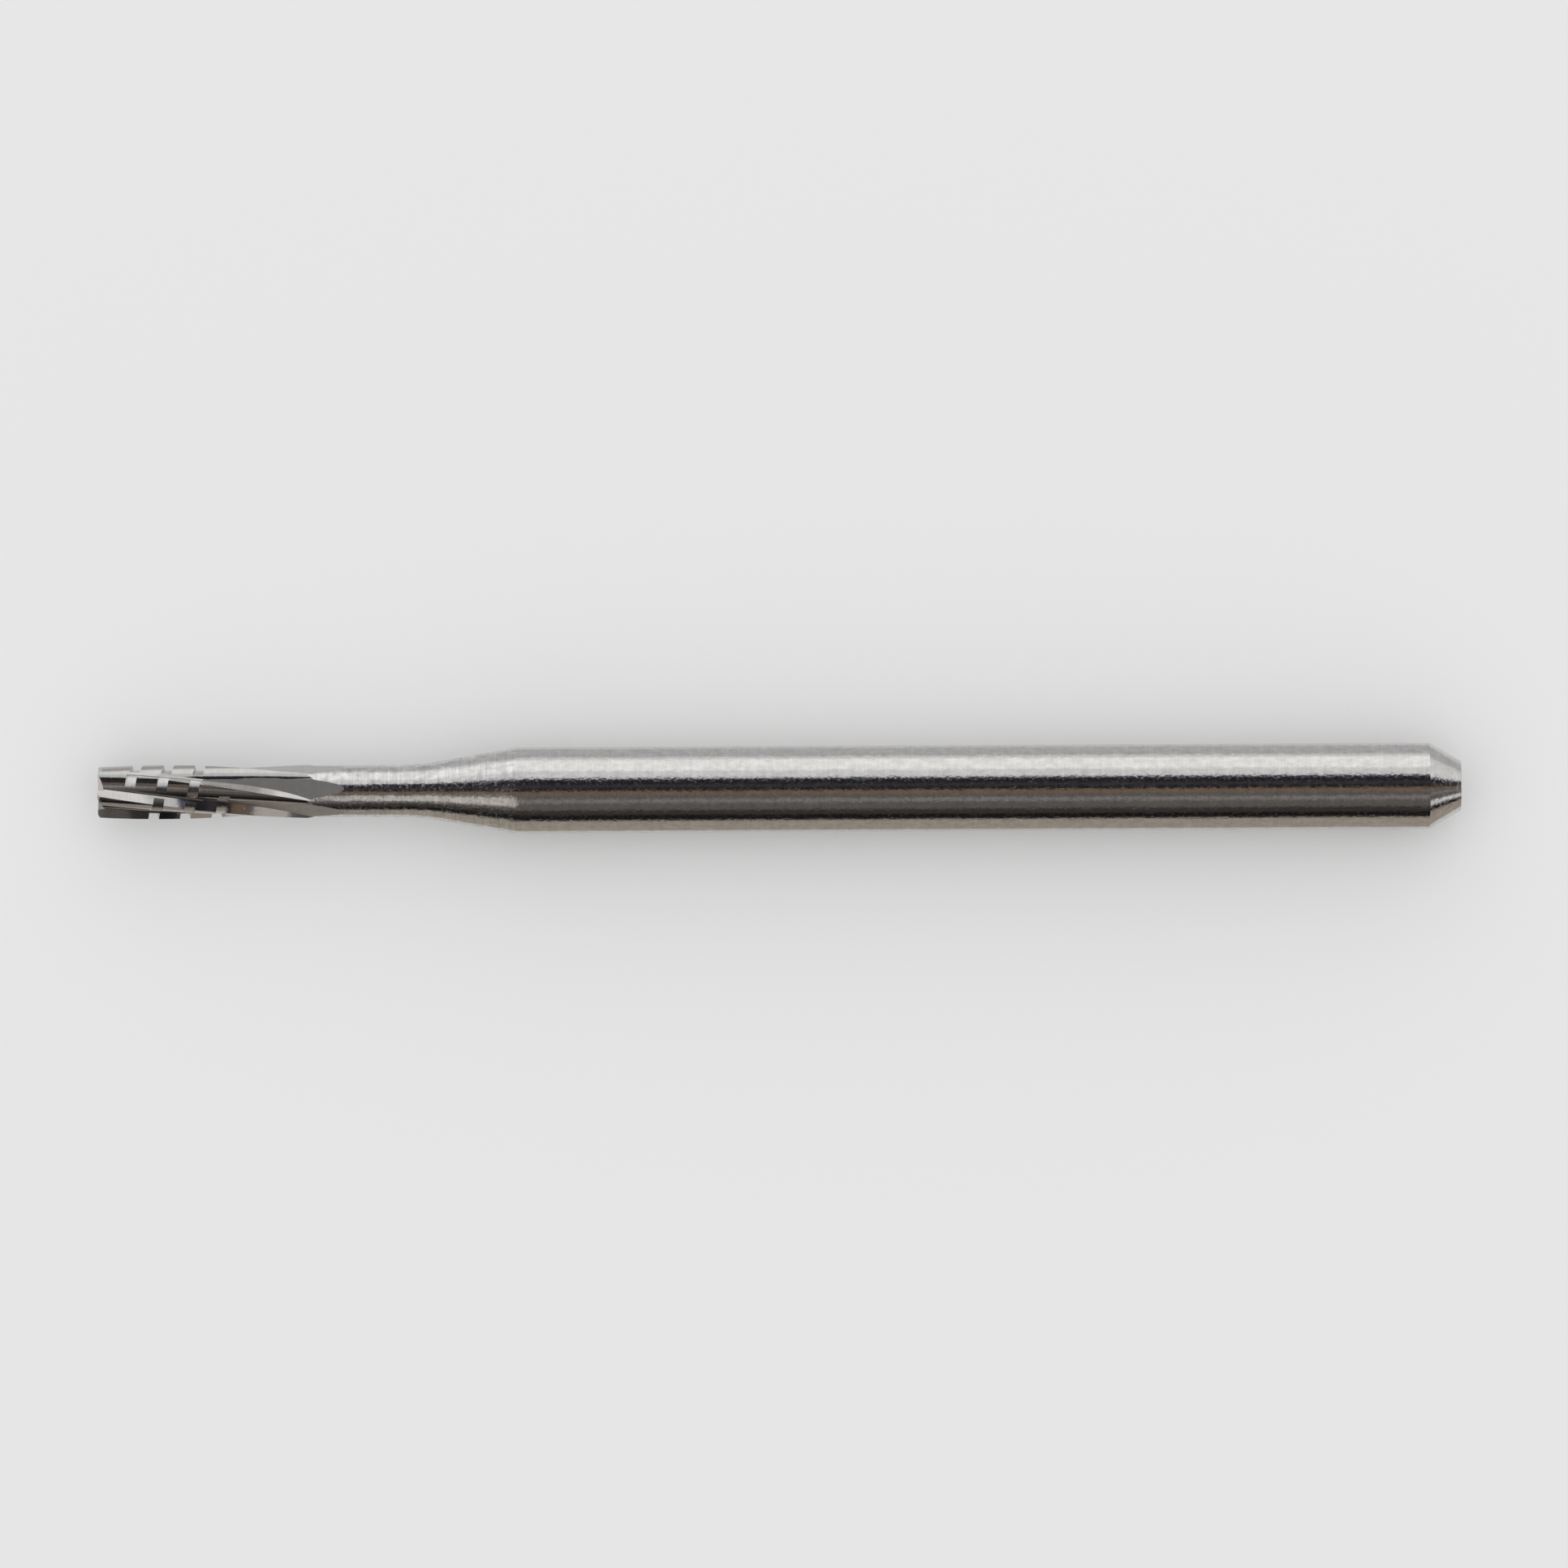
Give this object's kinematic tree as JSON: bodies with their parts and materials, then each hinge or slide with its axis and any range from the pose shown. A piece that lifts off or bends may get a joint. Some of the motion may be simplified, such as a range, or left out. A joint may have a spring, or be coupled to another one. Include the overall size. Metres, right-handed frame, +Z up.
{
  "type": "dental bur",
  "caption": "Six-bladed cross-cut straight fissure dental bur on a long plain 1.6 mm friction-grip shank.",
  "frame": {"origin": "on the bur's axis at the free end of the shank", "axes": "+X along the axis, out of the end of the shank; the cutting head is at -X; +Z up"},
  "size_m": [0.0253, 0.0016, 0.0016],
  "materials": {
    "ground_metal": "ground, with fine marks around the axis"
  },
  "bodies": {
    "root": {"bur": "ground_metal"}
  },
  "joints": []
}
